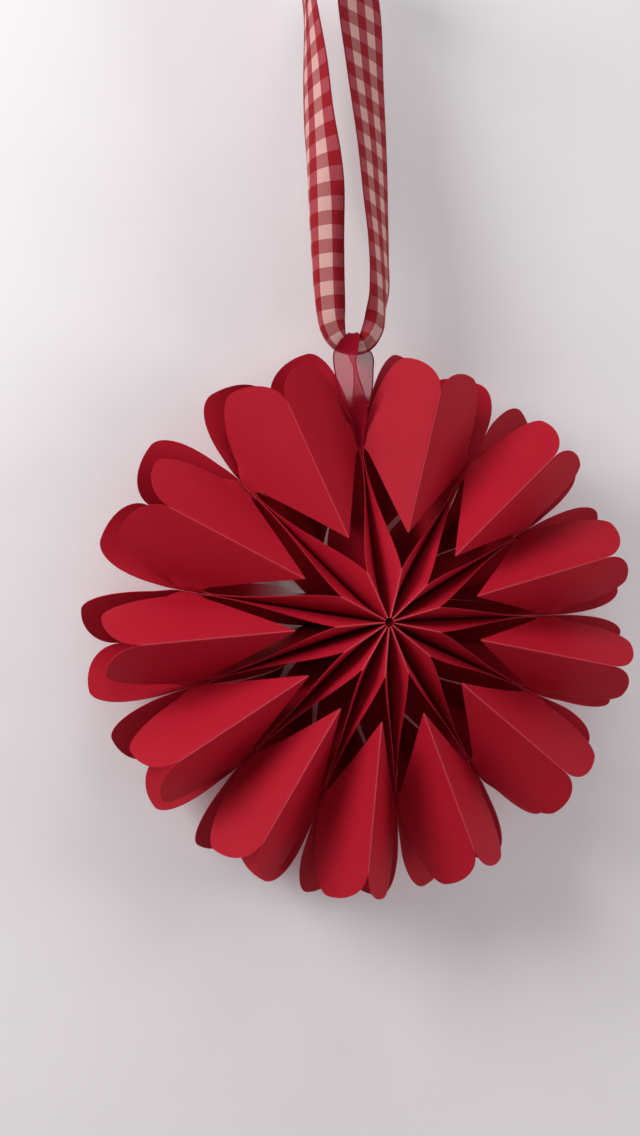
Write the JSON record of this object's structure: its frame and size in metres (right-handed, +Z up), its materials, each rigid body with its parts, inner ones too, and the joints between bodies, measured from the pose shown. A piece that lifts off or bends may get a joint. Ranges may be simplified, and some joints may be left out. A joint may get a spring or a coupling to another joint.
{
  "type": "paper heart ornament",
  "caption": "Hanging rosette of folded red paper pockets with hearts cut in the front and back folds, on a sheer ribbon loop and a checked ribbon.",
  "frame": {"origin": "the point under the top of the checked ribbon's loop where a hook bears, straight above the rosette's axis", "axes": "+Z up, the rosette's front faces -Y, +X to the right seen from the front; the rosette's axis lies along Y"},
  "size_m": [0.2143, 0.0565, 0.3818],
  "materials": {
    "red_paper": "matt coloured craft paper, folded and glued",
    "sheer_ribbon": "sheer woven ribbon",
    "checked_ribbon": "woven red and white check"
  },
  "bodies": {
    "root": {"paper_pocket_01": "red_paper", "paper_pocket_02": "red_paper", "paper_pocket_03": "red_paper", "paper_pocket_04": "red_paper", "paper_pocket_05": "red_paper", "paper_pocket_06": "red_paper", "paper_pocket_07": "red_paper", "paper_pocket_08": "red_paper", "paper_pocket_09": "red_paper", "paper_pocket_10": "red_paper", "paper_pocket_11": "red_paper", "paper_pocket_12": "red_paper", "sheer_loop": "sheer_ribbon", "checked_ribbon": "checked_ribbon"}
  },
  "joints": []
}
